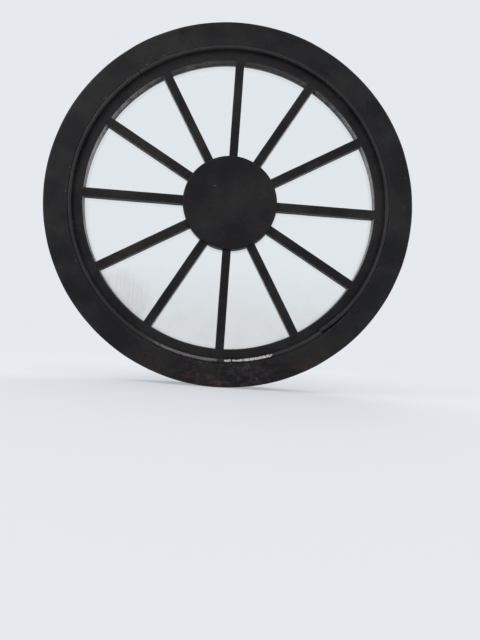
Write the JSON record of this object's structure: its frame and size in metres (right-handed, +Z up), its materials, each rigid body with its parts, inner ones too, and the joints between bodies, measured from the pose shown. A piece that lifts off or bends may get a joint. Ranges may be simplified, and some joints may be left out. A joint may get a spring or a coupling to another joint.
{
  "type": "round spoked window",
  "caption": "Fixed round window: a timber frame and sash with radial glazing bars around a solid round hub, glazed with sector panes in putty.",
  "frame": {"origin": "on the axis of the wheel, half way through the depth of the whole window", "axes": "+Y runs through the wall from indoors to outdoors, +Z is up, +X is to the right as seen from indoors"},
  "size_m": [0.88, 0.093, 0.88],
  "materials": {
    "frame_timber": "old dark gloss paint, dusty",
    "sash_timber": "old dark gloss paint, worn at the arrises",
    "bead_timber": "old dark paint, chipped to white primer",
    "bare_timber": "bare",
    "glass": "clear, dusty",
    "putty": "dry putty, painted",
    "steel": "dull"
  },
  "bodies": {
    "root": {"bar_01": "sash_timber", "bar_02": "sash_timber", "bar_03": "sash_timber", "bar_04": "sash_timber", "bar_05": "sash_timber", "bar_06": "sash_timber", "bar_07": "sash_timber", "bar_08": "sash_timber", "bar_09": "sash_timber", "bar_10": "sash_timber", "bar_11": "sash_timber", "bar_12": "sash_timber", "bead_brads": "steel", "glazing_sprigs": "steel", "hub": "sash_timber", "jamb_segment_1": "frame_timber", "jamb_segment_2": "frame_timber", "jamb_segment_3": "frame_timber", "jamb_segment_4": "frame_timber", "jamb_segment_5": "frame_timber", "jamb_segment_6": "frame_timber", "jamb_tongues": "bare_timber", "pane_01": "glass", "pane_02": "glass", "pane_03": "glass", "pane_04": "glass", "pane_05": "glass", "pane_06": "glass", "pane_07": "glass", "pane_08": "glass", "pane_09": "glass", "pane_10": "glass", "pane_11": "glass", "pane_12": "glass", "putty_01": "putty", "putty_02": "putty", "putty_03": "putty", "putty_04": "putty", "putty_05": "putty", "putty_06": "putty", "putty_07": "putty", "putty_08": "putty", "putty_09": "putty", "putty_10": "putty", "putty_11": "putty", "putty_12": "putty", "rim_segment_1": "sash_timber", "rim_segment_2": "sash_timber", "rim_segment_3": "sash_timber", "rim_segment_4": "sash_timber", "rim_segment_5": "sash_timber", "rim_segment_6": "sash_timber", "rim_tongues": "bare_timber", "stop_bead_lower": "bead_timber", "stop_bead_upper": "bead_timber"}
  },
  "joints": []
}
